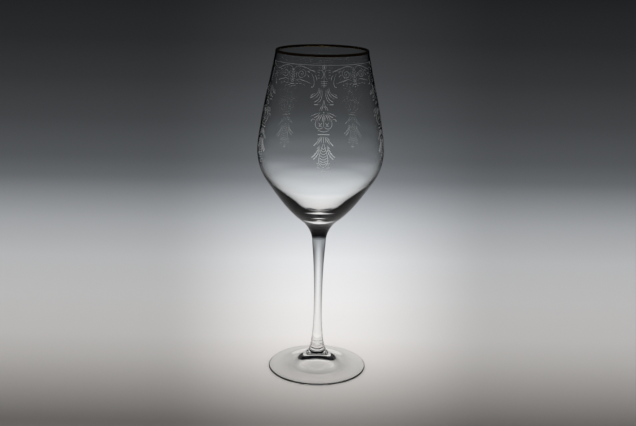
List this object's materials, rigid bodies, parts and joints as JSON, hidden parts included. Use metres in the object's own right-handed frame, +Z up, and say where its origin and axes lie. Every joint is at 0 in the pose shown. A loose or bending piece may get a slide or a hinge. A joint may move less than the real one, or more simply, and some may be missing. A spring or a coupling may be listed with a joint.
{
  "type": "wine goblet",
  "caption": "Clear stemmed wine goblet with a tapering bowl, slender stem, round domed foot, etched scroll ornament and a fired gold band over the lip.",
  "frame": {"origin": "centre of the foot's underside, on the table", "axes": "+Z up along the goblet's axis, from the foot to the rim; -Y faces the viewer of the picture"},
  "size_m": [0.0892, 0.0892, 0.235],
  "materials": {
    "clear_glass": "clear, fire-polished",
    "gold": "fired gold film, polished",
    "etched_glass": "matt, etched"
  },
  "bodies": {
    "root": {"foot": "clear_glass", "stem": "clear_glass", "bowl": "clear_glass", "rim_band": "gold"}
  },
  "joints": []
}
